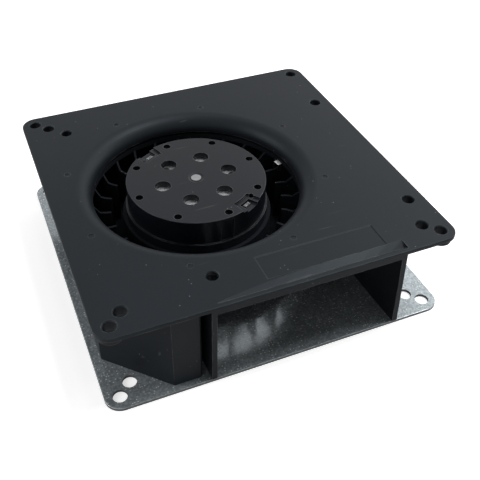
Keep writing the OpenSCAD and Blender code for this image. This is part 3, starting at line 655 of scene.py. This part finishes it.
class BLOWER_OT_motor(bpy.types.Operator):
    """Finish the motor's fixed and turning parts"""

    bl_idname = "blower.motor"
    bl_label = "Motor"

    def execute(self, context):
        s = context.scene.blower_metals
        nylon = clear_nylon("natural_nylon", context.scene.blower_mouldings.nylon_colour)
        races = turned_metal("bearing_steel", grey(1.1, s.steel_colour), 0.14)
        pins = turned_metal("tinned_pins", grey(1.05, s.steel_colour), 0.3)
        chip = chip_epoxy("chip_epoxy", (0.012, 0.012, 0.013))
        give(cast_metal("cast_aluminium", s.aluminium_colour), "motor_flange")
        give(stacked_sheets("stator_sheets", s.core_colour), "stator_core")
        give(nylon, "upper_insulator", "lower_insulator")
        give(wound_copper("enamelled_copper", s.copper_colour), "windings")
        give(circuit_laminate("green_laminate", (0.014, 0.11, 0.05)), "circuit_board")
        give(chip, "hall_sensor", "driver_chip", "power_transistors")
        give(pins, "terminal_pins", "supply_terminals")
        give(races, "upper_bearing_outer_race", "lower_bearing_outer_race", "upper_bearing_inner_race",
             "lower_bearing_inner_race", "upper_bearing_balls", "lower_bearing_balls", "wave_washer")
        give(turned_metal("ground_shaft_steel", grey(0.5, s.steel_colour), 0.3), "shaft")
        tab_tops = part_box("rotor_cup")[1].z - 0.2 * MM
        give(plated_sheet("drawn_cup_steel", grey(1.3, s.steel_colour), 0.3, tab_tops), "rotor_cup")
        give(sintered_magnet("bonded_ferrite", (0.035, 0.031, 0.028)), "ring_magnet")
        give(turned_metal("turned_brass", s.brass_colour, 0.24), "rotor_bush")
        give(plated_sheet("dark_spring_steel", (0.07, 0.07, 0.072), 0.35), "shaft_circlip")
        return {"FINISHED"}


# Each lamp's place and the side of its square.
LAMPS = {
    "top": ((0.45, 0.0, 1.0), 0.45),
    "window": ((0.09, 0.52, 1.08), 0.1),
    "side": ((0.95, 0.1, 0.45), 0.6),
    "back": ((0.75, 0.6, 0.6), 0.6),
    "left": ((-0.9, 0.2, 0.5), 0.6),
}


class BLOWER_OT_stage(bpy.types.Operator):
    """Make the camera, the lamps, the world and the floor"""

    bl_idname = "blower.stage"
    bl_label = "Stage"

    def execute(self, context):
        s = context.scene.blower_stage
        make_camera(context, s)
        for name, (place, size) in LAMPS.items():
            make_lamp(context, f"{name}_lamp", place, size, getattr(s, f"{name}_power"))
        make_world(context, s.room_light)
        make_floor(context, s.floor_colour)
        context.scene.view_settings.view_transform = "Standard"
        return {"FINISHED"}


def camera_axes(azimuth, elevation, roll):
    """Right, up and back of a camera that looks at the middle from those angles."""
    back = np.array([math.sin(azimuth) * math.cos(elevation),
                     -math.cos(azimuth) * math.cos(elevation), math.sin(elevation)])
    right = np.array([math.cos(azimuth), math.sin(azimuth), 0.0])
    up = np.cross(back, right)
    turned = math.cos(roll) * right + math.sin(roll) * up
    return np.column_stack([turned, np.cross(back, turned), back])


def make_camera(context, s):
    """A camera that stands at its distance, slightly beside and above the line to the middle."""
    beside, above = 0.00108, 0.00611
    axes = camera_axes(s.azimuth, s.elevation, s.roll)
    lens = bpy.data.cameras.new("camera")
    lens.lens = s.lens
    lens.shift_x, lens.shift_y = 0.0379, -0.0234
    lens.clip_start, lens.clip_end = 0.01, 10
    camera = bpy.data.objects.new("camera", lens)
    matrix = np.eye(4)
    matrix[:3, :3] = axes
    matrix[:3, 3] = axes @ np.array([beside, above, s.distance])
    camera.matrix_world = Matrix(matrix.tolist())
    context.scene.collection.objects.link(camera)
    context.scene.camera = camera


def make_lamp(context, name, place, size, power):
    """A square lamp that faces the middle of the object."""
    data = bpy.data.lights.new(name, "AREA")
    data.shape = "SQUARE"
    data.size = size
    data.energy = power
    lamp = bpy.data.objects.new(name, data)
    lamp.location = place
    lamp.rotation_euler = (-lamp.location).to_track_quat("-Z", "Y").to_euler()
    context.scene.collection.objects.link(lamp)


def make_world(context, strength):
    """White to the camera and in reflections, and a plain soft light from all around."""
    world = bpy.data.worlds.new("studio")
    world.use_nodes = True
    context.scene.world = world
    nodes = Nodes(world.node_tree)
    camera, glossy, through = (nodes.node("ShaderNodeLightPath", output=f"Is {ray} Ray")
                               for ray in ("Camera", "Glossy", "Transmission"))
    room, white = (nodes.node("ShaderNodeBackground", values={"Color": (1, 1, 1), "Strength": light})
                   for light in (strength, 1.0))
    shown = {0: camera.most(glossy).most(through), 1: room, 2: white}
    sky = nodes.node("ShaderNodeMixShader", values=shown)
    nodes.node("ShaderNodeOutputWorld", values={"Surface": sky})


def make_floor(context, colour):
    """A wide pale floor just under the base plate.

    It shows brighter to the camera, and more so far out, where the lamps hardly reach.
    """
    finish = Finish("pale_floor", roughness=0.9, specular_ior_level=0.0)
    finish.set("Base Color", finish.mix(finish.noise(0.2), grey(0.99, colour), colour))
    seen = finish.node("ShaderNodeLightPath", output="Is Camera Ray")
    glow = finish.mix(finish.from_shaft().ramp(0.25, 0.8), grey(0.6), grey(0.87))
    finish.set("Emission Color", finish.mix(seen, (0, 0, 0), glow))
    finish.set("Emission Strength", 1.0)
    half, gap = 3.0, 0.02 * MM
    low = cad_bounds[0][2] - gap
    corners = [(-half, -half, low), (half, -half, low), (half, half, low), (-half, half, low)]
    mesh = bpy.data.meshes.new("floor")
    mesh.from_pydata(corners, [], [(0, 1, 2, 3)])
    mesh.materials.append(finish.material)
    floor = bpy.data.objects.new("floor", mesh)
    context.scene.collection.objects.link(floor)


class BLOWER_PT_panel(bpy.types.Panel):
    """The blower's settings, with a button for each piece"""

    bl_idname = "BLOWER_PT_panel"
    bl_label = "Flat blower fan"
    bl_space_type = "VIEW_3D"
    bl_region_type = "UI"
    bl_category = "Blower"

    def draw(self, context):
        for name, settings in SETTINGS.items():
            box = self.layout.box()
            for field in settings.__annotations__:
                box.prop(getattr(context.scene, name), field)
        for operator in OPERATORS:
            self.layout.operator(operator.bl_idname)


SETTINGS = {
    "blower_stage": BlowerStage,
    "blower_mouldings": BlowerMouldings,
    "blower_metals": BlowerMetals,
    "blower_screws": BlowerScrews,
}
OPERATORS = (BLOWER_OT_stage, BLOWER_OT_housing, BLOWER_OT_wheel, BLOWER_OT_base, BLOWER_OT_motor)


def register():
    for made in (*SETTINGS.values(), *OPERATORS, BLOWER_PT_panel):
        bpy.utils.register_class(made)
    for name, settings in SETTINGS.items():
        setattr(bpy.types.Scene, name, bpy.props.PointerProperty(type=settings))


def unregister():
    for name in SETTINGS:
        delattr(bpy.types.Scene, name)
    for made in (BLOWER_PT_panel, *OPERATORS, *SETTINGS.values()):
        bpy.utils.unregister_class(made)


def main():
    register()
    bpy.ops.blower.stage()
    bpy.ops.blower.housing()
    bpy.ops.blower.wheel()
    bpy.ops.blower.base()
    bpy.ops.blower.motor()


if __name__ == "__main__":
    main()
